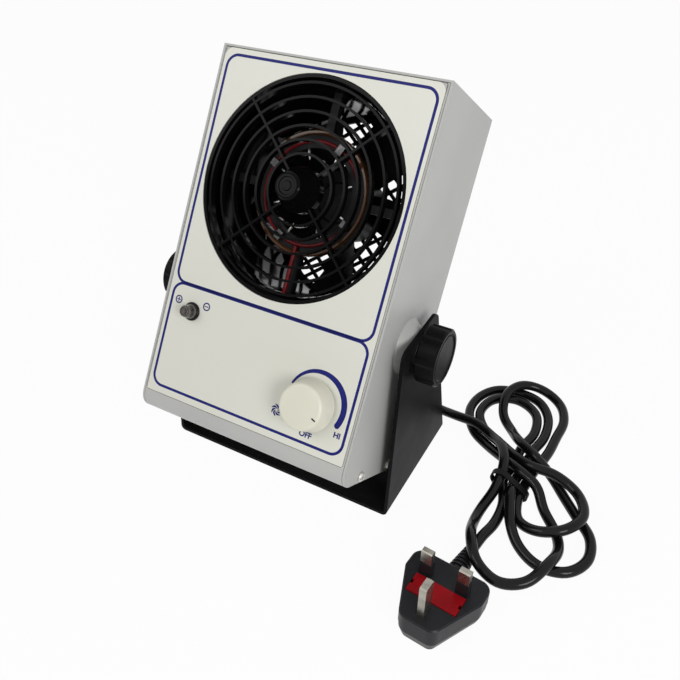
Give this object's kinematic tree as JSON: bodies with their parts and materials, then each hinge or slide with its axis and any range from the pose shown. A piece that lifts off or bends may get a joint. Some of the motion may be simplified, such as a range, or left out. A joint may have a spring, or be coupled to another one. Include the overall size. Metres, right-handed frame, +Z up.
{
  "type": "ionizing blower",
  "caption": "Bench-top ionizing air blower: a sheet-metal case with guarded fan, needles, lamp and speed knob, tilting on a U bracket, with mains lead and plug.",
  "frame": {"origin": "on the bench, under the middle of the tilt axis, at the middle of the bracket's base", "axes": "+Z up, -Y to the front, +X to the right as seen from the front; the case leans back at rest"},
  "size_m": [0.2911, 0.2239, 0.2356],
  "materials": {
    "white_paint": "smooth powder coat",
    "overlay_print": "satin printed film",
    "black_paint": "fine textured powder coat",
    "black_moulding": "satin moulded",
    "fan_casting": "black painted casting",
    "clip_moulding": "satin moulded",
    "amber_moulding": "glossy moulded",
    "copper_stack": "varnished winding",
    "red_insulation": "smooth",
    "potting": "potted resin",
    "nickel": "nickel plated",
    "steel": "bright steel",
    "lens": "smoky moulded lens",
    "cream_moulding": "satin moulded",
    "black_rubber": "semi-gloss sheath",
    "tie_plastic": "thin coated wire",
    "plug_moulding": "satin moulded",
    "pin_brass": "polished",
    "fuse_red": "moulded",
    "fuse_ceramic": "ceramic with metal caps"
  },
  "bodies": {
    "stand": {"bracket": "black_paint", "clamp_washers": "steel", "cord_lead": "black_rubber", "mains_cord": "black_rubber", "cord_tie": "tie_plastic", "plug_body": "plug_moulding", "plug_sleeve": "black_rubber", "live_pin": "pin_brass", "neutral_pin": "pin_brass", "earth_pin": "pin_brass", "pin_shrouds": "plug_moulding"},
    "impeller": {"impeller": "black_moulding", "impeller_shaft": "steel"},
    "speed_knob": {"speed_knob": "cream_moulding", "speed_shaft": "steel"},
    "clamp_left": {"clamp_stud_left": "steel", "clamp_knob_left": "black_moulding"},
    "clamp_right": {"clamp_stud_right": "steel", "clamp_knob_right": "black_moulding"},
    "fuse_carrier": {"fuse_carrier": "fuse_red", "fuse": "fuse_ceramic"},
    "case": {"front_cover": "white_paint", "rear_shell": "white_paint", "front_overlay": "overlay_print", "front_grille": "black_moulding", "fan_duct": "black_moulding", "duct_nuts": "nickel", "fan_frame": "fan_casting", "fan_stator": "copper_stack", "fan_nuts": "nickel", "emitter_carrier": "black_moulding", "amber_ring": "amber_moulding", "emitter_needles": "steel", "wire_clips": "clip_moulding", "high_voltage_wire": "red_insulation", "high_voltage_module": "potting", "rear_guard": "black_moulding", "guard_screws": "nickel", "case_screws": "nickel", "lamp_bezel": "black_moulding", "lamp_lens": "lens", "lamp_nut": "nickel", "speed_control": "potting", "speed_control_nut": "nickel", "side_bosses": "white_paint", "clamp_nuts": "steel", "cord_gland": "black_rubber", "gland_sleeve": "black_rubber"}
  },
  "joints": [
    {"name": "tilt", "type": "hinge", "parent": "stand", "child": "case", "pos_m": [0, 0, 0.1], "axis": [1, 0, 0], "range_deg": [-55, 50], "deforming": ["cord_lead"]},
    {"name": "impeller_spin", "type": "hinge", "parent": "case", "child": "impeller", "pos_m": [0, 0.05591, 0.14404], "axis": [0, -0.8146, 0.58], "continuous": true},
    {"name": "speed_turn", "type": "hinge", "parent": "case", "child": "speed_knob", "pos_m": [0.0406, -0.05648, 0.08964], "axis": [0, -0.8146, 0.58], "range_deg": [0, 285]},
    {"name": "clamp_left_turn", "type": "hinge", "parent": "case", "child": "clamp_left", "pos_m": [-0.085, 0, 0.1], "axis": [-1, 0, 0], "range_deg": [0, 360]},
    {"name": "clamp_right_turn", "type": "hinge", "parent": "case", "child": "clamp_right", "pos_m": [0.085, 0, 0.1], "axis": [1, 0, 0], "range_deg": [0, 360]},
    {"name": "fuse_slide", "type": "slide", "parent": "stand", "child": "fuse_carrier", "axis": [0.0067, 0.0764, 0.9971], "range_m": [0, 0.012]}
  ]
}
